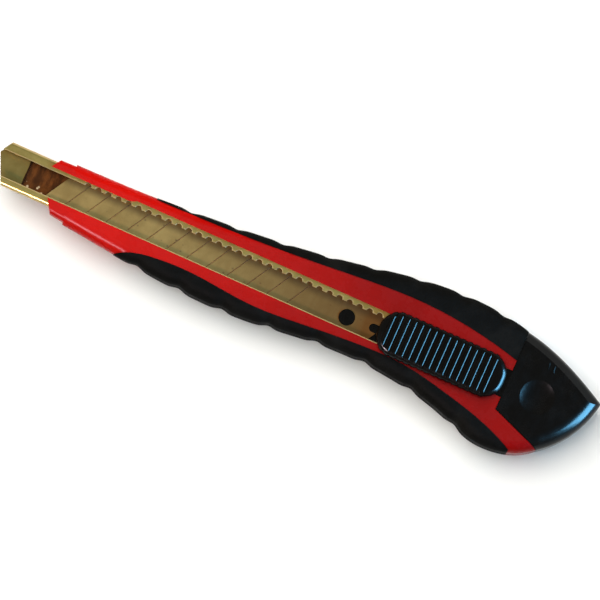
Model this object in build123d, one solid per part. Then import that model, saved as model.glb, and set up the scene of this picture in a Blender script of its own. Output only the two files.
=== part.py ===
"""Snap-off utility knife for 9 mm blades, built in millimetres.

The knife lies on its back. While the pieces are being made, X runs from the
mouth of the steel channel to the tail, Y = 0 is the channel's centre line with
the toothed lip on the +Y side, and Z = 0 is the surface the knife lies on.
At the end every piece is moved by one offset, so that the origin is the centre
of the whole knife's footprint.
"""

from build123d import *
from math import exp, radians, sqrt, tan
import os

# ---------------------------------------------------------------- dimensions
# Blade: standard 9 mm snap-off blade with 5 mm segments.
BLADE_WIDTH = 9.0
BLADE_THICKNESS = 0.38
BLADE_TIP_X = 12.6
BLADE_TAIL_X = 95.2
SEGMENT = 5.0
SCORE_COUNT = 12
SNAP_ANGLE = 60.0
SCORE_DEPTH = 0.12
EDGE_BEVEL_WIDTH = 1.2
EDGE_LAND = 0.06
BLADE_HOLE_X = 87.3
BLADE_HOLE_Y = -0.5
BLADE_HOLE_RADIUS = 1.9
TAIL_NOTCH_Y = -0.25
TAIL_NOTCH_RADIUS = 1.0
TAIL_NOTCH_DEPTH = 2.4
TAIL_CUT_Y = -0.4

# Folded steel channel.
SHEET = 0.4
CHANNEL_INNER_WIDTH = 9.3
CHANNEL_INNER_HEIGHT = 2.0
CHANNEL_BEND = 0.8
CHANNEL_TOP_Z = 11.5
CHANNEL_END_X = 125.6
TOOTHED_LIP_Y = 2.75
PLAIN_LIP_Y = -3.1
TOOTH_PITCH = 2.5
TOOTH_FIRST_X = 21.5
TOOTH_COUNT = 41
TOOTH_RADIUS = 0.72
LIP_BREAK = 0.2
MOUTH_APEX_Y = 2.1
RECESS_FRONT_X = 7.3
RECESS_REAR_X = 20.0
RECESS_HALF_WIDTH = 4.1
RECESS_DEPTH = 0.15
RECESS_BOW = 0.35

# Handle: hard core with two soft grips moulded onto its edges.
CORE_TOP_Z = 12.3
GRIP_TOP_Z = 12.6
BACK_Z = 0.0
CORE_ROUNDING = 2.6
GRIP_ROUNDING = 2.9
GRIP_PROUD = 0.15
COLLAR_TOP_Z = 12.0
COLLAR_BOTTOM_Z = 6.6
COLLAR_ROUNDING = 1.4
NOSE_BOTTOM_Z = 6.3
NOSE_MIDDLE_X = 18.3
NOSE_RISE_START_X = 22.0
NOSE_RISE_END_X = 56.0
GROOVE_COUNT = 8
GROOVE_SPREAD = 1.6
GROOVE_SAMPLES = 10
UPPER_GROOVE_DEPTH = 0.4
UPPER_GROOVE_FIRST_X = 45.4
UPPER_GROOVE_PITCH = 11.13
UPPER_PITCH_GROWTH = -0.07
LOWER_GROOVE_DEPTH = 0.6
LOWER_GROOVE_FIRST_X = 39.0
LOWER_GROOVE_PITCH = 10.45
LOWER_PITCH_GROWTH = 0.15
WEB_FRONT_X = 42.0
WEB_INSET = 1.9
WEB_THICKNESS = 5.4
SLOT_LOW_Y = -3.4
SLOT_HIGH_Y = 3.5
SLOT_WIDE_Y = 4.15
SLOT_STEP_X = 31.7
SLOT_STEP_LENGTH = 1.4
SLOT_END_X = 121.0
SLOT_END_LOW_Y = -3.0
SLOT_END_HIGH_Y = 3.65
POCKET_FRONT_X = 100.0
POCKET_LOW_Y = -3.6
POCKET_HIGH_Y = 4.4
POCKET_BOTTOM_Z = 3.0
POCKET_TOP_Z = 7.0

# Tail cap.
CAP_ROUNDING = 3.6
CAP_BEVEL = 2.2
CAP_BEVEL_ROUNDING = 3.0
PLUG_LENGTH = 13.0
PLUG_CLEARANCE = 0.1
TONGUE_LENGTH = 5.2
TONGUE_TOP_Z = 12.0
DIMPLE_X = 134.2
DIMPLE_Y = 0.3
DIMPLE_RADIUS = 4.0
DIMPLE_DEPTH = 0.7

# Slider, blade holder and lock spring.
SLIDER_FRONT_X = 94.8
SLIDER_LENGTH = 31.1
SLIDER_WIDTH = 10.4
SLIDER_Y = 0.3
SLIDER_END_RADIUS = 4.7
SLIDER_SKIRT = 0.5
SLIDER_BOTTOM_Z = 12.4
SLIDER_BODY_TOP_Z = 14.6
RIB_COUNT = 16
RIB_PITCH = 1.68
RIB_FIRST_X = 97.0
RIB_WIDTH = 0.95
RIB_HEIGHT = 0.55
RIB_OVERHANG = 0.15
SLIDER_ROUNDING = 1.3
HOLDER_FRONT_X = 84.0
HOLDER_REAR_X = 124.0
HOLDER_HALF_WIDTH = 4.4
HOLDER_FLOOR_GAP = 0.1
BLADE_BOTTOM_Z = 10.3
HOLDER_TOP_Z = 11.0
PIN_RADIUS = 1.75
NECK_FRONT_X = 98.0
NECK_REAR_X = 120.0
NECK_LOW_Y = -2.9
NECK_HIGH_Y = 2.3
POST_RADIUS = 1.2
POST_HEIGHT = 1.2
SPRING_THICKNESS = 0.3
SPRING_Y = 1.2
SPRING_BAY_Y = 0.5
SPRING_END_WALL = 2.5
BUMP_TIP_Y = 3.2
BUMP_HALF_LENGTH = 1.3
SPRING_BOTTOM_Z = 11.05
SPRING_TOP_Z = 12.1

# Derived values.
CHANNEL_HALF_WIDTH = CHANNEL_INNER_WIDTH / 2 + SHEET
CHANNEL_BOTTOM_Z = CHANNEL_TOP_Z - CHANNEL_INNER_HEIGHT - 2 * SHEET
CHANNEL_FLOOR_Z = CHANNEL_BOTTOM_Z + SHEET
BLADE_TOP_Z = BLADE_BOTTOM_Z + BLADE_THICKNESS
CORE_MID_Z = (CORE_TOP_Z + BACK_Z) / 2
SNAP_LEAN = BLADE_WIDTH / tan(radians(SNAP_ANGLE))
BIG = 200.0

# ------------------------------------------------------------------ outlines
# Front corners of the collar and of the nose behind it, lower side last.
COLLAR = [(12.1, 3.5), (13.5, 5.75), (18.0, 5.9), (21.0, -7.1), (16.1, -6.5), (14.1, -3.4)]
NOSE_UPPER = (17.2, 6.35)
NOSE_LOWER = (19.6, -7.5)
# Long edges of the handle, nose to tail, without the finger grooves.
UPPER_EDGE = [NOSE_UPPER, (35, 6.7), (60, 8.3), (84, 11.5), (100, 14.35), (111, 15.1), (126.6, 13.4)]
LOWER_EDGE = [NOSE_LOWER, (33, -8.85), (50, -10.0), (66, -9.95), (80, -8.4), (93, -7.85)]
LOWER_EDGE += [(104, -8.8), (116, -11.5), (127, -14.6), (134, -13.5), (141, -8.0)]
# Where the hard face meets the soft grips.
# The grips end bluntly, except the lower one at the nose, whose seam starts outside the edge.
UPPER_SEAM = [(37, 6.35), (48, 6.5), (63, 7.05), (78, 8.1), (92, 9.3), (101, 9.6), (112, 8.9), (126.6, 6.1)]
LOWER_SEAM = [(31.4, -10.4), (37, -7.0), (42, -6.1), (49, -5.75), (57, -6.25), (66, -6.95), (78, -6.3)]
LOWER_SEAM += [(93, -5.15), (104, -5.3), (114, -7.1), (124, -9.6), (133, -13.2)]
# Ends of the two halves: the upper one stops at the cap, and the lower one runs
# on past the cap's parting line, which cuts it to a hard corner.
UPPER_CORNER = [(126.6, 0)]
LOWER_CORNER = [(141.0, 0)]
# Cap: a flat front with a slanted line below it, a long upper edge that runs on
# past the tip, and the round tail that cuts it off.
PARTING = [(126.6, 20), (126.6, -6.0), (151.6, -15.5), (151.6, 20)]
CAP_FRONT = [(151.7, -15.4), (126.7, -5.9), (126.7, 13.38)]
CAP_UPPER_EDGE = [(126.7, 13.38), (137, 10.45), (148.2, 5.0), (151.7, 3.0)]
TAIL_ARC = [(148.2, 5.0), (144.9, -4.0), (138.8, -10.7)]


def grooves(first_x, pitch, growth):
    """Middles of a row of finger grooves, whose spacing changes evenly."""
    return [first_x + pitch * number + growth * number**2 for number in range(GROOVE_COUNT)]


UPPER_GROOVES = grooves(UPPER_GROOVE_FIRST_X, UPPER_GROOVE_PITCH, UPPER_PITCH_GROWTH)
LOWER_GROOVES = grooves(LOWER_GROOVE_FIRST_X, LOWER_GROOVE_PITCH, LOWER_PITCH_GROWTH)


def height_at(curve, x):
    """Y of a curve that runs along +X, where it crosses x."""
    low, high = 0.0, 1.0
    for _ in range(30):
        middle = (low + high) / 2
        if (curve @ middle).X < x:
            low = middle
        else:
            high = middle
    return (curve @ low).Y


def grooved(points, middles, depth, inward):
    """Spline through the points, pushed inward by a smooth dip at each groove."""
    base = Spline(*points)
    spacing = (middles[1] - middles[0]) / GROOVE_SAMPLES
    first = middles[0] - spacing * GROOVE_SAMPLES / 2
    last = middles[-1] + spacing * GROOVE_SAMPLES / 2
    count = int((last - first) / spacing)
    pushed = []
    for number in range(count + 1):
        x = first + spacing * number
        dip = sum(exp(-(((x - middle) / GROOVE_SPREAD) ** 2)) for middle in middles)
        pushed.append((x, height_at(base, x) + inward * (depth * dip - GRIP_PROUD)))
    before = [point for point in points if point[0] < first - spacing]
    after = [point for point in points if point[0] > pushed[-1][0] + spacing / 2]
    return Spline(*before, *pushed, *after)


def shifted(points, inward):
    """Points moved along Y."""
    return [(x, y + inward) for x, y in points]


def face_between(*pieces):
    """Flat face inside a closed ring of lines and curves."""
    return make_face([edge for piece in pieces for edge in piece.edges()])


def prism(face, low, high):
    """Upright solid on a flat face, from one height to another."""
    return extrude(Pos(0, 0, low) * face, high - low)


def block(x_low, x_high, y_low, y_high, z_low, z_high):
    """Box between two corners."""
    size = (x_high - x_low, y_high - y_low, z_high - z_low)
    return Pos(x_low, y_low, z_low) * Box(*size, align=(Align.MIN, Align.MIN, Align.MIN))


def under_edge(curve, corner):
    """Footprint from the centre line to a long edge, which ends in the corner points."""
    start, end = curve @ 0, curve @ 1
    rest = [(end.X, end.Y), *corner, (NOSE_MIDDLE_X, 0), (start.X, start.Y)]
    return face_between(curve, Polyline(*rest))


def side_profile(bottom, top):
    """Solid as wide as the knife, whose underside rises towards the nose."""
    rise = Spline(
        (NOSE_RISE_START_X, NOSE_BOTTOM_Z),
        (NOSE_RISE_END_X, bottom),
        tangents=[(1, 0), (1, 0)],
    )
    rest = Polyline(
        (NOSE_RISE_END_X, bottom), (BIG, bottom), (BIG, top), (0, top), (0, NOSE_BOTTOM_Z),
        (NOSE_RISE_START_X, NOSE_BOTTOM_Z),
    )
    return extrude(Plane.XZ * face_between(rise, rest), BIG / 2, both=True)


# -------------------------------------------------------------------- handle
def half_handle(curve, corner, bottom, top, rounding):
    """Slab from the centre line out to one long edge, rounded along that edge."""
    slab = prism(under_edge(curve, corner), bottom, top) & side_profile(bottom, top)
    rims = slab.edges().filter_by(
        lambda edge: abs(edge.center().Y) > CHANNEL_HALF_WIDTH and edge.bounding_box().size.X > 1
    )
    return fillet(rims, rounding)


def beyond_seam(points, far):
    """Upright solid on the grip's side of a seam."""
    start, end = points[0], points[-1]
    rest = Polyline(end, (end[0], far), (start[0], far), start)
    return prism(face_between(Spline(*points), rest), -1, BIG)


def web(points, corner, inward):
    """Core tongue that a grip is moulded around."""
    footprint = under_edge(Spline(*shifted(points, inward)), corner)
    tongue = prism(footprint, CORE_MID_Z - WEB_THICKNESS / 2, CORE_MID_Z + WEB_THICKNESS / 2)
    return tongue & block(WEB_FRONT_X, points[-1][0], -BIG, BIG, 0, BIG)


def grip(points, middles, depth, seam, corner, side):
    """Soft grip along one edge; side is 1 for the upper and -1 for the lower."""
    curve = grooved(points, middles, depth, -side)
    half = half_handle(curve, corner, BACK_Z, GRIP_TOP_Z, GRIP_ROUNDING)
    moulded = half & beyond_seam(seam, side * BIG)
    return moulded - web(points, corner, -side * WEB_INSET)


def collar():
    """Smaller front end of the core, around the channel."""
    solid = prism(make_face(Polyline(*COLLAR, close=True)), COLLAR_BOTTOM_Z, COLLAR_TOP_Z)
    rims = solid.edges().filter_by(
        lambda edge: abs(edge.center().Y) > CHANNEL_HALF_WIDTH and edge.bounding_box().size.X > 1.5
    )
    return fillet(rims, COLLAR_ROUNDING)


def slot_footprint():
    """Opening in the face: wider on the toothed side behind the nose, narrow at its end."""
    step_end = SLOT_STEP_X + SLOT_STEP_LENGTH
    corners = [(0, SLOT_LOW_Y), (SLOT_END_X, SLOT_LOW_Y), (SLOT_END_X, SLOT_END_LOW_Y)]
    corners += [(BIG, SLOT_END_LOW_Y), (BIG, SLOT_END_HIGH_Y), (SLOT_END_X, SLOT_END_HIGH_Y)]
    corners += [(SLOT_END_X, SLOT_WIDE_Y), (step_end, SLOT_WIDE_Y)]
    corners += [(SLOT_STEP_X, SLOT_HIGH_Y), (0, SLOT_HIGH_Y)]
    return make_face(Polyline(*corners, close=True))


def handle_core():
    """Hard body with the channel's tunnel, the thumb slot and the plug's pocket."""
    upper = half_handle(Spline(*UPPER_EDGE), UPPER_CORNER, BACK_Z, CORE_TOP_Z, CORE_ROUNDING)
    lower = half_handle(Spline(*LOWER_EDGE), LOWER_CORNER, BACK_Z, CORE_TOP_Z, CORE_ROUNDING)
    upper -= beyond_seam(UPPER_SEAM, BIG)
    lower -= beyond_seam(LOWER_SEAM, -BIG)
    webs = web(UPPER_EDGE, UPPER_CORNER, -WEB_INSET) + web(LOWER_EDGE, LOWER_CORNER, WEB_INSET)
    core = upper + lower + webs + collar()
    core -= prism(make_face(Polyline(*PARTING, close=True)), -1, BIG)
    core -= block(0, BIG, -CHANNEL_HALF_WIDTH, CHANNEL_HALF_WIDTH, CHANNEL_BOTTOM_Z, CHANNEL_TOP_Z)
    core -= prism(slot_footprint(), CHANNEL_TOP_Z - 1, BIG)
    return core - block(POCKET_FRONT_X, BIG, POCKET_LOW_Y, POCKET_HIGH_Y, POCKET_BOTTOM_Z, POCKET_TOP_Z)


# ------------------------------------------------------------------- channel
def blade_channel():
    """Folded steel channel with an arrow-cut mouth and a row of lock teeth."""
    width = 2 * CHANNEL_HALF_WIDTH
    height = CHANNEL_TOP_Z - CHANNEL_BOTTOM_Z
    middle_z = (CHANNEL_TOP_Z + CHANNEL_BOTTOM_Z) / 2
    outside = RectangleRounded(width, height, CHANNEL_BEND)
    inside = RectangleRounded(width - 2 * SHEET, height - 2 * SHEET, CHANNEL_BEND - SHEET)
    tube = extrude(Plane.YZ * Pos(0, middle_z) * (outside - inside), CHANNEL_END_X)
    channel = tube - block(-1, BIG, PLAIN_LIP_Y, TOOTHED_LIP_Y, CHANNEL_TOP_Z - 1, BIG)

    mouth = [(0, MOUTH_APEX_Y), (1.9, CHANNEL_HALF_WIDTH), (BIG, CHANNEL_HALF_WIDTH)]
    mouth += [(BIG, -CHANNEL_HALF_WIDTH), (3.2, -CHANNEL_HALF_WIDTH)]
    channel &= prism(make_face(Polyline(*mouth, close=True)), 0, BIG)

    side = LIP_BREAK * sqrt(2)
    for lip_y in (PLAIN_LIP_Y, TOOTHED_LIP_Y):
        channel -= Pos(0, lip_y, CHANNEL_TOP_Z) * Rot(45, 0, 0) * Box(2 * BIG, side, side)
    valleys = [(TOOTH_FIRST_X + TOOTH_PITCH * number, TOOTHED_LIP_Y) for number in range(TOOTH_COUNT)]
    holes = [Pos(*valley) * Circle(TOOTH_RADIUS) for valley in valleys]
    breaks = [
        Pos(*valley, CHANNEL_TOP_Z) * Cone(TOOTH_RADIUS, TOOTH_RADIUS + 2 * LIP_BREAK, 2 * LIP_BREAK)
        for valley in valleys
    ]
    channel -= prism(Sketch() + holes, CHANNEL_TOP_Z - 1, CHANNEL_TOP_Z + 1)
    return channel - breaks - floor_recess()


def floor_recess():
    """Shallow pressed area of the floor, with a bowed front."""
    front = ThreePointArc(
        (RECESS_FRONT_X, -RECESS_HALF_WIDTH),
        (RECESS_FRONT_X + RECESS_BOW, 0),
        (RECESS_FRONT_X, RECESS_HALF_WIDTH),
    )
    rest = Polyline(
        (RECESS_FRONT_X, RECESS_HALF_WIDTH),
        (RECESS_REAR_X, RECESS_HALF_WIDTH),
        (RECESS_REAR_X, -RECESS_HALF_WIDTH),
        (RECESS_FRONT_X, -RECESS_HALF_WIDTH),
    )
    return prism(face_between(front, rest), CHANNEL_FLOOR_Z - RECESS_DEPTH, CHANNEL_FLOOR_Z + SHEET)


# --------------------------------------------------------------------- blade
def blade():
    """Snap-off blade: ground edge on the -Y side, scored face up."""
    half = BLADE_WIDTH / 2
    middle_z = BLADE_BOTTOM_Z + BLADE_THICKNESS / 2
    section = [
        (half, BLADE_BOTTOM_Z),
        (half, BLADE_TOP_Z),
        (EDGE_BEVEL_WIDTH - half, BLADE_TOP_Z),
        (-half, middle_z + EDGE_LAND / 2),
        (-half, middle_z - EDGE_LAND / 2),
        (EDGE_BEVEL_WIDTH - half, BLADE_BOTTOM_Z),
    ]
    strip = extrude(Plane.YZ * make_face(Polyline(*section, close=True)), BIG)
    footprint = [
        (BLADE_TIP_X, -half),
        (BLADE_TIP_X + SNAP_LEAN, half),
        (BLADE_TAIL_X, half),
        (BLADE_TAIL_X, TAIL_CUT_Y),
        (BLADE_TAIL_X - (TAIL_CUT_Y + half) / tan(radians(SNAP_ANGLE)), -half),
    ]
    strip &= prism(make_face(Polyline(*footprint, close=True)), 0, BIG)
    strip -= Pos(BLADE_HOLE_X, BLADE_HOLE_Y, BLADE_TOP_Z) * Cylinder(BLADE_HOLE_RADIUS, 2)
    notch = SlotOverall(2 * TAIL_NOTCH_DEPTH, 2 * TAIL_NOTCH_RADIUS)
    strip -= prism(Pos(BLADE_TAIL_X, TAIL_NOTCH_Y) * notch, 0, BIG)
    for number in range(1, SCORE_COUNT + 1):
        strip -= score_line(BLADE_TIP_X + SNAP_LEAN / 2 + SEGMENT * number)
    return strip


def score_line(middle_x):
    """V groove across the blade, where a segment snaps off."""
    side = SCORE_DEPTH * sqrt(2)
    bar = Rot(45, 0, 0) * Box(2 * BLADE_WIDTH, side, side)
    return Pos(middle_x, 0, BLADE_TOP_Z) * Rot(0, 0, SNAP_ANGLE) * bar


# ------------------------------------------------------------------ carriage
def tooth_valley_x():
    """Lock tooth that the spring's bump sits in at rest."""
    middle = (NECK_FRONT_X + NECK_REAR_X) / 2
    return TOOTH_FIRST_X + TOOTH_PITCH * round((middle - TOOTH_FIRST_X) / TOOTH_PITCH)


def blade_holder():
    """Moulded carrier in the channel, with a pin through the blade's hole."""
    bottom = CHANNEL_FLOOR_Z + HOLDER_FLOOR_GAP
    arm = block(HOLDER_FRONT_X, HOLDER_REAR_X, -HOLDER_HALF_WIDTH, HOLDER_HALF_WIDTH, bottom, BLADE_BOTTOM_Z)
    body = block(BLADE_TAIL_X, HOLDER_REAR_X, -HOLDER_HALF_WIDTH, HOLDER_HALF_WIDTH, bottom, HOLDER_TOP_Z)
    neck = block(NECK_FRONT_X, NECK_REAR_X, NECK_LOW_Y, NECK_HIGH_Y, HOLDER_TOP_Z, SLIDER_BOTTOM_Z)
    bay = block(
        NECK_FRONT_X + SPRING_END_WALL,
        NECK_REAR_X - SPRING_END_WALL,
        SPRING_BAY_Y,
        BIG,
        HOLDER_TOP_Z,
        BIG,
    )
    pin_z = (BLADE_BOTTOM_Z + HOLDER_TOP_Z) / 2
    pin = Pos(BLADE_HOLE_X, BLADE_HOLE_Y, pin_z) * Cylinder(PIN_RADIUS, HOLDER_TOP_Z - BLADE_BOTTOM_Z)
    holder = arm + body + (neck - bay) + pin
    for post in slider_posts(POST_RADIUS):
        holder += post
    return holder


def slider_posts(radius):
    """Two round posts that locate the thumb slider on the holder."""
    span = NECK_REAR_X - NECK_FRONT_X
    return [
        Pos(NECK_FRONT_X + share * span, NECK_LOW_Y / 2, SLIDER_BOTTOM_Z + POST_HEIGHT / 2)
        * Cylinder(radius, POST_HEIGHT)
        for share in (0.2, 0.8)
    ]


def lock_spring():
    """Bowed steel strip on edge, whose bump drops into the lock teeth."""
    bump = tooth_valley_x()
    front = NECK_FRONT_X + SPRING_END_WALL + SPRING_THICKNESS
    rear = NECK_REAR_X - SPRING_END_WALL - SPRING_THICKNESS
    path = FilletPolyline(
        (front, SPRING_Y),
        (bump - BUMP_HALF_LENGTH, SPRING_Y),
        (bump, BUMP_TIP_Y),
        (bump + BUMP_HALF_LENGTH, SPRING_Y),
        (rear, SPRING_Y),
        radius=SPRING_THICKNESS,
    )
    return prism(trace(path, SPRING_THICKNESS), SPRING_BOTTOM_Z, SPRING_TOP_Z)


def thumb_slider():
    """Rounded button with raised ribs that run over its sides."""
    middle = Pos(SLIDER_FRONT_X + SLIDER_LENGTH / 2, SLIDER_Y)
    outline = middle * RectangleRounded(SLIDER_LENGTH, SLIDER_WIDTH, SLIDER_END_RADIUS)
    body = prism(outline, SLIDER_BOTTOM_Z, SLIDER_BODY_TOP_Z)
    body = fillet(body.faces().sort_by(Axis.Z)[-1].edges(), SLIDER_ROUNDING)

    grown = offset(outline, RIB_OVERHANG)
    shell = prism(grown, SLIDER_BOTTOM_Z + SLIDER_SKIRT, SLIDER_BODY_TOP_Z + RIB_HEIGHT)
    shell = fillet(shell.faces().sort_by(Axis.Z)[-1].edges(), SLIDER_ROUNDING + RIB_OVERHANG)
    for number in range(RIB_COUNT):
        body += shell & rib(RIB_FIRST_X + RIB_PITCH * number)
    for post in slider_posts(POST_RADIUS):
        body -= post
    return body


def rib(middle_x):
    """Upright slab with rounded top edges."""
    low = middle_x - RIB_WIDTH / 2
    high = middle_x + RIB_WIDTH / 2
    slab = block(low, high, -SLIDER_WIDTH, SLIDER_WIDTH, SLIDER_BOTTOM_Z, SLIDER_BODY_TOP_Z + RIB_HEIGHT)
    return fillet(slab.faces().sort_by(Axis.Z)[-1].edges().filter_by(Axis.Y), RIB_WIDTH / 3)


# ----------------------------------------------------------------------- cap
def end_cap():
    """Pointed tail cap with a finger dimple on each face, a plug and a slot tongue."""
    curve = Spline(*CAP_UPPER_EDGE)
    slab = prism(face_between(curve, Polyline(curve @ 1, *CAP_FRONT)), BACK_Z, GRIP_TOP_Z)
    long_edges = slab.edges().filter_by(lambda edge: edge.bounding_box().size.X > CAP_BEVEL)
    slab = chamfer(long_edges.filter_by(lambda edge: edge.center().Y > 0), CAP_BEVEL)
    bevel_feet = slab.edges().filter_by(
        lambda edge: BACK_Z < edge.center().Z < GRIP_TOP_Z and edge.bounding_box().size.X > CAP_BEVEL
    )
    slab = fillet(bevel_feet, CAP_BEVEL_ROUNDING)

    tail = ThreePointArc(*TAIL_ARC)
    disc = Cylinder(tail.radius, GRIP_TOP_Z - BACK_Z)
    disc = fillet(disc.edges().filter_by(GeomType.CIRCLE), CAP_ROUNDING)
    cap = slab & Pos(tail.arc_center.X, tail.arc_center.Y, (GRIP_TOP_Z + BACK_Z) / 2) * disc

    ball_radius = (DIMPLE_RADIUS**2 + DIMPLE_DEPTH**2) / (2 * DIMPLE_DEPTH)
    for z in (GRIP_TOP_Z + ball_radius - DIMPLE_DEPTH, BACK_Z - ball_radius + DIMPLE_DEPTH):
        cap -= Pos(DIMPLE_X, DIMPLE_Y, z) * Rot(90, 0, 0) * Sphere(ball_radius)

    front_x = CAP_FRONT[-1][0]
    plug = block(
        front_x - PLUG_LENGTH,
        front_x + 1,
        POCKET_LOW_Y + PLUG_CLEARANCE,
        POCKET_HIGH_Y - PLUG_CLEARANCE,
        POCKET_BOTTOM_Z + PLUG_CLEARANCE,
        POCKET_TOP_Z - PLUG_CLEARANCE,
    )
    tongue = block(
        front_x - TONGUE_LENGTH,
        front_x + 1,
        SLOT_END_LOW_Y + PLUG_CLEARANCE,
        SLOT_END_HIGH_Y - PLUG_CLEARANCE,
        CHANNEL_TOP_Z + PLUG_CLEARANCE,
        TONGUE_TOP_Z,
    )
    return cap + plug + tongue


# ---------------------------------------------------------------------- write
PIECES = {
    "handle_core": handle_core(),
    "upper_grip": grip(UPPER_EDGE, UPPER_GROOVES, UPPER_GROOVE_DEPTH, UPPER_SEAM, UPPER_CORNER, 1),
    "lower_grip": grip(LOWER_EDGE, LOWER_GROOVES, LOWER_GROOVE_DEPTH, LOWER_SEAM, LOWER_CORNER, -1),
    "blade_channel": blade_channel(),
    "blade": blade(),
    "blade_holder": blade_holder(),
    "lock_spring": lock_spring(),
    "thumb_slider": thumb_slider(),
    "end_cap": end_cap(),
}

boxes = [piece.bounding_box() for piece in PIECES.values()]
middle_x = (min(box.min.X for box in boxes) + max(box.max.X for box in boxes)) / 2
middle_y = (min(box.min.Y for box in boxes) + max(box.max.Y for box in boxes)) / 2
to_origin = Pos(-middle_x, -middle_y, -min(box.min.Z for box in boxes))

os.makedirs("parts", exist_ok=True)
for name, piece in PIECES.items():
    export_step(to_origin * piece, f"parts/{name}.step")
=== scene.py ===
from math import cos, radians, sin, tan

import bmesh
import bpy
from mathutils import Matrix, Vector


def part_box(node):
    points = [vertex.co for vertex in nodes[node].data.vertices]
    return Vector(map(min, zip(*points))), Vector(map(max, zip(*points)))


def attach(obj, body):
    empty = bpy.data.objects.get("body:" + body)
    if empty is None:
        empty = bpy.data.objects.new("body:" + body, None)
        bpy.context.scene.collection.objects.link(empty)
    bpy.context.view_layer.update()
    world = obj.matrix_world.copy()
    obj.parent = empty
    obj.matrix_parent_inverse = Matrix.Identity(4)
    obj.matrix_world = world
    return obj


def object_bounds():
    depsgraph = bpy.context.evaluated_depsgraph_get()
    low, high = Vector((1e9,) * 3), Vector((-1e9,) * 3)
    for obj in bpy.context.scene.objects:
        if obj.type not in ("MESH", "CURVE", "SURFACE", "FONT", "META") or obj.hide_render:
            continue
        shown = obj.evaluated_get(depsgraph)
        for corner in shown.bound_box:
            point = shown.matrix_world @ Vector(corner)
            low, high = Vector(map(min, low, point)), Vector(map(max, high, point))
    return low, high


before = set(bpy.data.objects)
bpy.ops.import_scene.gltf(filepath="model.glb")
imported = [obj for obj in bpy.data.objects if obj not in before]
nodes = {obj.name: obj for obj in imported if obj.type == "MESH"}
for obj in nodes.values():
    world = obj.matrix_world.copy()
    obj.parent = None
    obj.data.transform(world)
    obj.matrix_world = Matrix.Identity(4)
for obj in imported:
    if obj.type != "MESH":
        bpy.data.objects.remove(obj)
cad_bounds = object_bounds()

MM = 0.001
channel_low, channel_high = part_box("blade_channel")
blade_low, blade_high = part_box("blade")
core_low, core_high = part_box("handle_core")
_, cap_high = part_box("end_cap")
AXIS_Y = (channel_low.y + channel_high.y) / 2

# The camera looks down on the face, a little from the -Y side, with the knife's
# axis sloping down to the right.
VIEW_WIDTH = 136.36 * MM
AXIS_SLOPE = radians(24.0)
CAMERA_LEAN = radians(5.0)
CAMERA_DISTANCE = 2.5
SENSOR_WIDTH = 36.0
VIEW_CENTRE = Vector((channel_low.x + 75.98 * MM, AXIS_Y - 1.3 * MM, channel_high.z))

# Two slim strokes moulded on the end cap, placed from its tip.
STROKE_SIZE = (1.8 * MM, 0.4 * MM, 0.3 * MM)
STROKE_TURN = radians(-80.0)
STROKE_STARTS = [Vector((-14.4 * MM, 7.9 * MM, 0)), Vector((-13.0 * MM, 7.7 * MM, 0))]
STROKE_BEVEL = 0.1 * MM

# Standard 9 mm blade: its segments, and the half width of the painted shade along a score line, in its
# dark and faded parts.
SEGMENT = 5.0 * MM
SCORE_COUNT = 12
SNAP_ANGLE = radians(60.0)
SCORE_DARK = 0.09 * MM
SCORE_FADED = 0.22 * MM

# A brown patch of painted shade on the channel's floor, ahead of the blade, standing for the shaded
# surface seen through a window there. The floor is everything
# in the channel below CHANNEL_FLOOR_TOP.
PATCH_FRONT = channel_low.x + 7.4 * MM
PATCH_LENGTH = 13.0 * MM
PATCH_RIM = 0.5 * MM
PATCH_DULLING = 0.45
CHANNEL_FLOOR_TOP = channel_low.z + 1.0 * MM

# Colours, as linear red, green and blue; a pair is the darker and the lighter end of a pattern.
BRIGHT_FRONT_RED = ((0.42, 0.002, 0.0005), (0.48, 0.003, 0.0005))
# Painted shade: the darker red that the shell fades to toward its tail.
SHADED_TAIL_RED = ((0.205, 0.001, 0.0005), (0.235, 0.001, 0.0005))
RUBBER_BLACK = ((0.004, 0.0037, 0.003), (0.008, 0.0075, 0.0065))
PLASTIC_BLACK = ((0.002, 0.0018, 0.0015), (0.004, 0.0037, 0.0033))
CHANNEL_PLATING = ((0.39, 0.26, 0.066), (0.52, 0.36, 0.1))
BLADE_GREY = ((0.44, 0.26, 0.08), (0.57, 0.345, 0.11))
SPRING_GREY = ((0.4, 0.4, 0.38), (0.55, 0.55, 0.52))
STEEL_MARKS = (0.1, 0.08, 0.03)
# Pale painted highlight for the channel's slanted edges and bends.
EDGE_HIGHLIGHT_PALE = (0.4, 0.3, 0.14)
SHADED_PLATING = (0.12, 0.08, 0.025)
# Painted shade: the browns of the floor patch, its darker front rim (a painted shadow) and its pale
# specks.
PATCH_BROWN = ((0.055, 0.02, 0.007), (0.17, 0.055, 0.014))
PATCH_RIM_SHADOW = (0.03, 0.012, 0.005)
PATCH_SPECK = (0.8, 0.6, 0.35)
BLADE_SPECK = (0.12, 0.07, 0.04)
BLADE_TARNISH = (0.2, 0.085, 0.025)
# Painted shadow that the toothed lip casts on the blade.
LIP_SHADOW_ON_BLADE = (0.09, 0.045, 0.02)
# Painted shade in the blade's score grooves.
SCORE_SHADE = (0.06, 0.04, 0.025)
PAPER_WHITE = ((0.9, 0.9, 0.9), (0.94, 0.94, 0.94))
WARM_WALLS = (0.6, 0.58, 0.5)
DIM_CEILING = (0.4, 0.4, 0.37)

# Stretches of a pattern, so that its marks run along X or along Y.
MARKS_ALONG_X = (0.06, 1.0, 1.0)
MARKS_ALONG_Y = (1.0, 0.12, 1.0)

FLOOR_SIZE = 6.0
WORLD_STRENGTH = 0.9

# The knife's flat back sits this far above the floor, so that no two faces coincide.
FLOOR_GAP = 0.05 * MM


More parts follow.
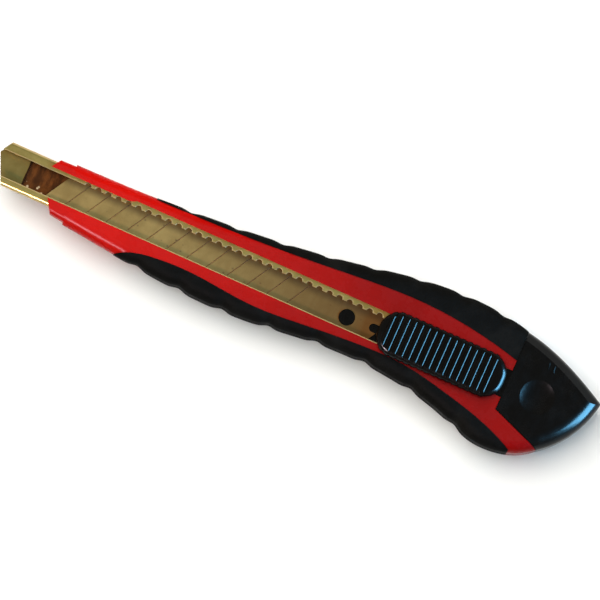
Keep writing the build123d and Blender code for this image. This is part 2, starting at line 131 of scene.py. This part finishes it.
# ---------------------------------------------------------------- shader help
def new_material(name):
    """Empty node material: the material, its tree and its Principled shader."""
    material = bpy.data.materials.new(name)
    material.use_nodes = True
    tree = material.node_tree
    return material, tree, tree.nodes["Principled BSDF"]


def connect(tree, value, socket):
    """Feeds a socket from another socket, or sets it to a number or a colour."""
    if isinstance(value, bpy.types.NodeSocket):
        tree.links.new(value, socket)
    elif isinstance(value, tuple):
        socket.default_value = (*value, 1.0)
    else:
        socket.default_value = value


def place(tree, stretch=(1.0, 1.0, 1.0)):
    """The shaded point in the object's own frame, in metres."""
    coordinates = tree.nodes.new("ShaderNodeTexCoord")
    mapping = tree.nodes.new("ShaderNodeMapping")
    mapping.inputs["Scale"].default_value = stretch
    tree.links.new(coordinates.outputs["Object"], mapping.inputs["Vector"])
    return mapping.outputs["Vector"]


def split(tree, vector):
    """The X, Y and Z of a vector."""
    node = tree.nodes.new("ShaderNodeSeparateXYZ")
    tree.links.new(vector, node.inputs["Vector"])
    return node.outputs["X"], node.outputs["Y"], node.outputs["Z"]


def maths(tree, operation, *values):
    """Result of one operation on numbers or sockets."""
    node = tree.nodes.new("ShaderNodeMath")
    node.operation = operation
    for value, socket in zip(values, node.inputs):
        connect(tree, value, socket)
    return node.outputs["Value"]


def noise(tree, vector, scale, detail=4.0, roughness=0.55):
    """Noise value, mostly from 0.3 to 0.7, with about scale lumps to a metre."""
    node = tree.nodes.new("ShaderNodeTexNoise")
    node.inputs["Scale"].default_value = scale
    node.inputs["Detail"].default_value = detail
    node.inputs["Roughness"].default_value = roughness
    tree.links.new(vector, node.inputs["Vector"])
    return node.outputs["Fac"]


def cells(tree, vector, scale):
    """Distance to the nearest point of a random scatter, from 0 to about 1."""
    node = tree.nodes.new("ShaderNodeTexVoronoi")
    node.inputs["Scale"].default_value = scale
    tree.links.new(vector, node.inputs["Vector"])
    return node.outputs["Distance"]


def ramped(tree, value, low, high, start, end):
    """Moves a value smoothly from start to end as it goes from low to high."""
    node = tree.nodes.new("ShaderNodeMapRange")
    node.interpolation_type = "SMOOTHSTEP"
    for name, number in (("From Min", low), ("From Max", high), ("To Min", start), ("To Max", end)):
        node.inputs[name].default_value = number
    tree.links.new(value, node.inputs["Value"])
    return node.outputs["Result"]


def between(tree, value, low, high, blur):
    """1 from low to high and 0 outside, with soft edges."""
    rise = ramped(tree, value, low - blur, low + blur, 0.0, 1.0)
    fall = ramped(tree, value, high - blur, high + blur, 1.0, 0.0)
    return maths(tree, "MULTIPLY", rise, fall)


def slanted(tree):
    """1 on broken edges and bends that face up at a slant, and 0 on flat faces."""
    normal = tree.nodes.new("ShaderNodeTexCoord").outputs["Normal"]
    _, _, up = split(tree, normal)
    return between(tree, up, 0.5, 0.9, 0.06)


def mixed(tree, share, first, second):
    """Colour that goes from first to second as share goes from 0 to 1."""
    node = tree.nodes.new("ShaderNodeMix")
    node.data_type = "RGBA"
    connect(tree, share, node.inputs["Factor"])
    connect(tree, first, node.inputs["A"])
    connect(tree, second, node.inputs["B"])
    return node.outputs["Result"]


def set_shine(shader, level):
    """Strength of the clear reflection on a shader that isn't metal, where 0.5 is plain plastic."""
    shader.inputs["Specular IOR Level"].default_value = level


def bump(tree, shader, height, distance):
    """Makes a height pattern shade as relief of the given depth."""
    node = tree.nodes.new("ShaderNodeBump")
    node.inputs["Distance"].default_value = distance
    tree.links.new(height, node.inputs["Height"])
    tree.links.new(node.outputs["Normal"], shader.inputs["Normal"])


# ------------------------------------------------------------------ materials
def red_shell():
    """Glossy red moulding: flow marks, rubbed patches, and painted shade that makes it duller and darker
    to the tail.
    """
    material, tree, shader = new_material("red_shell")
    point = place(tree)
    x, _, _ = split(tree, point)
    flow = ramped(tree, noise(tree, point, 55.0), 0.35, 0.65, 0.0, 1.0)
    bright_front = mixed(tree, flow, *BRIGHT_FRONT_RED)
    shaded_tail = mixed(tree, flow, *SHADED_TAIL_RED)
    # Painted shade: the red falls to about half its brightness toward the tail, where the light falls
    # off.
    toward_tail = ramped(tree, x, core_low.x + 15 * MM, core_high.x - 30 * MM, 0.0, 1.0)
    connect(tree, mixed(tree, toward_tail, bright_front, shaded_tail), shader.inputs["Base Color"])
    rubbed = noise(tree, point, 260.0, 6.0, 0.7)
    connect(tree, ramped(tree, rubbed, 0.35, 0.7, 0.24, 0.34), shader.inputs["Roughness"])
    set_shine(shader, 0.05)
    bump(tree, shader, noise(tree, point, 2200.0, 3.0), 0.01 * MM)
    return material


def black_rubber():
    """Matte soft rubber with a fine leathery grain and greyed high spots."""
    material, tree, shader = new_material("black_rubber")
    point = place(tree)
    dusty = noise(tree, point, 140.0, 6.0, 0.65)
    greyed = ramped(tree, dusty, 0.42, 0.75, 0.0, 1.0)
    connect(tree, mixed(tree, greyed, *RUBBER_BLACK), shader.inputs["Base Color"])
    connect(tree, ramped(tree, dusty, 0.3, 0.7, 0.5, 0.68), shader.inputs["Roughness"])
    set_shine(shader, 0.01)
    bump(tree, shader, cells(tree, point, 2400.0), 0.04 * MM)
    return material


def black_plastic(name, roughness, scuff_scale):
    """Moulded black plastic with fine scuffs and a faint orange-peel skin."""
    material, tree, shader = new_material(name)
    point = place(tree)
    worn = ramped(tree, noise(tree, point, 160.0, 5.0, 0.7), 0.45, 0.75, 0.0, 1.0)
    connect(tree, mixed(tree, worn, *PLASTIC_BLACK), shader.inputs["Base Color"])
    scuffs = noise(tree, place(tree, (1.0, 0.5, 1.0)), scuff_scale, 5.0, 0.7)
    scuffed = ramped(tree, scuffs, 0.35, 0.7, roughness - 0.03, roughness + 0.05)
    connect(tree, scuffed, shader.inputs["Roughness"])
    set_shine(shader, 0.09)
    bump(tree, shader, noise(tree, point, 1500.0, 3.0), 0.002 * MM)
    return material


def steel(name, tones, stretch, roughness):
    """Steel with mottled tones and fine marks along one axis: material, tree, shader, colour."""
    material, tree, shader = new_material(name)
    shader.inputs["Metallic"].default_value = 1.0
    mottle = noise(tree, place(tree), 170.0, 6.0, 0.7)
    colour = mixed(tree, ramped(tree, mottle, 0.32, 0.68, 0.0, 1.0), *tones)
    marks = noise(tree, place(tree, stretch), 1400.0, 5.0, 0.7)
    colour = mixed(tree, ramped(tree, marks, 0.35, 0.75, 0.0, 0.06), colour, STEEL_MARKS)
    marked = ramped(tree, marks, 0.3, 0.7, roughness - 0.015, roughness + 0.015)
    connect(tree, marked, shader.inputs["Roughness"])
    bump(tree, shader, marks, 0.0012 * MM)
    return material, tree, shader, colour


def channel_steel():
    """Warm-toned plated sheet: a pale painted highlight on slanted edges and bends, and a brown patch of
    painted shade ahead of the blade.
    """
    material, tree, shader, colour = steel("channel_steel", CHANNEL_PLATING, MARKS_ALONG_X, 0.3)
    point = place(tree)
    x, y, z = split(tree, point)
    ragged = maths(tree, "MULTIPLY_ADD", noise(tree, point, 900.0), 0.3 * MM, x)
    on_floor = ramped(tree, z, CHANNEL_FLOOR_TOP, CHANNEL_FLOOR_TOP + 0.2 * MM, 1.0, 0.0)
    # Painted shade: a dark brown patch on the floor ahead of the blade.
    in_patch = between(tree, ragged, PATCH_FRONT, PATCH_FRONT + PATCH_LENGTH, 0.1 * MM)
    shaded_patch = maths(tree, "MULTIPLY", in_patch, on_floor)

    streaks = noise(tree, place(tree, (1.0, 0.35, 1.0)), 520.0, 5.0, 0.65)
    streaked = ramped(tree, streaks, 0.35, 0.68, 0.0, 1.0)
    brown = mixed(tree, streaked, *PATCH_BROWN)
    # Painted shadow along the patch's front edge.
    rim_shadow = between(tree, ragged, PATCH_FRONT, PATCH_FRONT + PATCH_RIM, 0.15 * MM)
    brown = mixed(tree, rim_shadow, brown, PATCH_RIM_SHADOW)
    speck = ramped(tree, cells(tree, point, 700.0), 0.1, 0.24, 0.85, 0.0)
    near_lip = ramped(tree, y, AXIS_Y - 2.2 * MM, AXIS_Y - 0.5 * MM, 1.0, 0.0)
    brown = mixed(tree, maths(tree, "MULTIPLY", speck, near_lip), brown, PATCH_SPECK)

    colour = mixed(tree, maths(tree, "MULTIPLY", on_floor, 0.4), colour, SHADED_PLATING)
    # Painted highlight: bends and broken edges that face up at a slant get a pale, non-metal colour.
    edge = slanted(tree)
    colour = mixed(tree, edge, colour, EDGE_HIGHLIGHT_PALE)
    connect(tree, mixed(tree, shaded_patch, colour, brown), shader.inputs["Base Color"])
    dulled = maths(tree, "MAXIMUM", maths(tree, "MULTIPLY", shaded_patch, PATCH_DULLING), edge)
    connect(tree, maths(tree, "SUBTRACT", 1.0, dulled), shader.inputs["Metallic"])
    set_shine(shader, 0.03)
    return material


def blade_steel():
    """Ground blade: marks across it, score lines darkened with painted shade, a painted shadow under the
    toothed lip, and tarnish.
    """
    material, tree, shader, colour = steel("blade_steel", BLADE_GREY, MARKS_ALONG_Y, 0.3)
    point = place(tree)
    x, y, _ = split(tree, point)

    # Distance back from the blade's slanted front, which is 0 on it and grows along X.
    lean = (blade_high.y - blade_low.y) / tan(SNAP_ANGLE)
    front = blade_low.x + lean / 2
    from_axis = maths(tree, "SUBTRACT", y, AXIS_Y)
    upright = maths(tree, "MULTIPLY_ADD", from_axis, -1.0 / tan(SNAP_ANGLE), x)
    along = maths(tree, "SUBTRACT", upright, front)
    to_line = maths(tree, "PINGPONG", along, SEGMENT / 2)
    # Painted shade in the score grooves: each score line is darkened.
    line = ramped(tree, to_line, SCORE_DARK, SCORE_FADED, 1.0, 0.0)
    scored = between(tree, along, SEGMENT / 2, SEGMENT * (SCORE_COUNT + 0.5), 0.1 * MM)
    line = maths(tree, "MULTIPLY", line, maths(tree, "MULTIPLY", scored, 0.7))

    specks = ramped(tree, cells(tree, point, 420.0), 0.05, 0.16, 0.5, 0.0)
    colour = mixed(tree, specks, colour, BLADE_SPECK)
    tarnish = ramped(tree, x, blade_low.x + 20 * MM, blade_high.x - 5 * MM, 0.0, 0.8)
    colour = mixed(tree, tarnish, colour, BLADE_TARNISH)
    # Painted shadow of the toothed lip, darkening the blade toward its upper edge; it moves with the
    # blade.
    lip_shadow = ramped(tree, y, AXIS_Y + 0.6 * MM, AXIS_Y + 2.7 * MM, 0.0, 0.7)
    colour = mixed(tree, lip_shadow, colour, LIP_SHADOW_ON_BLADE)
    connect(tree, mixed(tree, line, colour, SCORE_SHADE), shader.inputs["Base Color"])
    connect(tree, maths(tree, "SUBTRACT", 1.0, slanted(tree)), shader.inputs["Metallic"])
    set_shine(shader, 0.03)
    return material


def spring_steel():
    """Bare spring steel."""
    material, tree, shader, colour = steel("spring_steel", SPRING_GREY, MARKS_ALONG_X, 0.26)
    connect(tree, colour, shader.inputs["Base Color"])
    return material


def dress_nodes():
    """Gives every CAD node its material."""
    rubber = black_rubber()
    button = black_plastic("slider_black", 0.2, 500.0)
    materials = {
        "handle_core": red_shell(),
        "upper_grip": rubber,
        "lower_grip": rubber,
        "blade_channel": channel_steel(),
        "blade": blade_steel(),
        "blade_holder": button,
        "lock_spring": spring_steel(),
        "thumb_slider": button,
        "end_cap": black_plastic("cap_black", 0.22, 350.0),
    }
    for name, material in materials.items():
        slots = nodes[name].data.materials
        slots.clear()
        slots.append(material)
    return materials


# ---------------------------------------------------------------- added piece
def cap_mark(material):
    """Slim raised strokes on the end cap's face, standing for a moulded mark without any text."""
    mesh = bmesh.new()
    for start in STROKE_STARTS:
        stroke = bmesh.ops.create_cube(mesh, size=1.0)["verts"]
        bmesh.ops.scale(mesh, vec=STROKE_SIZE, verts=stroke)
        bmesh.ops.rotate(mesh, matrix=Matrix.Rotation(STROKE_TURN, 3, "Z"), verts=stroke)
        bmesh.ops.translate(mesh, vec=start, verts=stroke)
    bmesh.ops.bevel(mesh, geom=mesh.edges[:], offset=STROKE_BEVEL, segments=3, affect="EDGES")
    data = bpy.data.meshes.new("cap_mark")
    mesh.to_mesh(data)
    mesh.free()
    data.materials.append(material)
    piece = bpy.data.objects.new("cap_mark", data)
    piece.location = (cap_high.x, AXIS_Y, cap_high.z)
    bpy.context.scene.collection.objects.link(piece)
    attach(piece, "tail_cap")


# --------------------------------------------------------------- floor, light
def floor():
    """Pale matte floor that the knife lies on."""
    bpy.ops.mesh.primitive_plane_add(size=FLOOR_SIZE, location=(0, 0, cad_bounds[0].z - FLOOR_GAP))
    plane = bpy.context.object
    plane.name = "floor"
    material, tree, shader = new_material("floor_paper")
    fibres = noise(tree, place(tree), 30.0)
    colour = mixed(tree, ramped(tree, fibres, 0.3, 0.7, 0.0, 1.0), *PAPER_WHITE)
    connect(tree, colour, shader.inputs["Base Color"])
    shader.inputs["Roughness"].default_value = 0.95
    set_shine(shader, 0.1)
    plane.data.materials.append(material)


def area_light(name, position, size, power, colour, fill=False):
    """Soft rectangular light aimed at the knife. It only lights body colours if fill, else only gloss."""
    data = bpy.data.lights.new(name, "AREA")
    data.shape = "RECTANGLE"
    data.size, data.size_y = size
    data.energy = power
    data.color = colour
    lamp = bpy.data.objects.new(name, data)
    lamp.visible_diffuse = fill
    lamp.visible_glossy = not fill
    lamp.location = position
    lamp.rotation_euler = (VIEW_CENTRE - Vector(position)).to_track_quat("-Z", "Y").to_euler()
    bpy.context.scene.collection.objects.link(lamp)


def studio_world():
    """Room light: warm white round the sides and a little dimmer overhead."""
    world = bpy.data.worlds.new("studio")
    world.use_nodes = True
    tree = world.node_tree
    direction = tree.nodes.new("ShaderNodeTexCoord").outputs["Generated"]
    _, _, z = split(tree, direction)
    sky = mixed(tree, ramped(tree, z, 0.2, 0.8, 0.0, 1.0), WARM_WALLS, DIM_CEILING)
    background = tree.nodes["Background"]
    connect(tree, sky, background.inputs["Color"])
    background.inputs["Strength"].default_value = WORLD_STRENGTH
    bpy.context.scene.world = world


def camera():
    """Long-lens camera placed for the knife's slope and scale in the picture."""
    data = bpy.data.cameras.new("camera")
    data.sensor_width = SENSOR_WIDTH
    data.lens = SENSOR_WIDTH * CAMERA_DISTANCE / VIEW_WIDTH
    data.clip_start = 0.01
    data.clip_end = 20.0

    toward = Vector((0, -sin(CAMERA_LEAN), cos(CAMERA_LEAN)))
    along = Vector((1, 0, 0))
    across = toward.cross(along)
    right = cos(AXIS_SLOPE) * along + sin(AXIS_SLOPE) * across
    up = cos(AXIS_SLOPE) * across - sin(AXIS_SLOPE) * along
    eye = bpy.data.objects.new("camera", data)
    turn = Matrix((right, up, toward)).transposed().to_4x4()
    eye.matrix_world = Matrix.Translation(VIEW_CENTRE + CAMERA_DISTANCE * toward) @ turn
    bpy.context.scene.collection.objects.link(eye)
    bpy.context.scene.camera = eye


materials = dress_nodes()
cap_mark(materials["end_cap"])
floor()
studio_world()
area_light("key", (-0.3, 0.2, 0.9), (1.0, 1.0), 13.0, (1.0, 0.98, 0.95), fill=True)
area_light("nose_light", (-0.16, -0.4, 0.45), (0.14, 0.1), 10.0, (1.0, 0.8, 0.88))
area_light("sky_window", (0.54, 0.04, 0.24), (0.5, 0.42), 80.0, (0.18, 0.6, 1.0))
camera()
bpy.context.scene.view_settings.view_transform = "Standard"
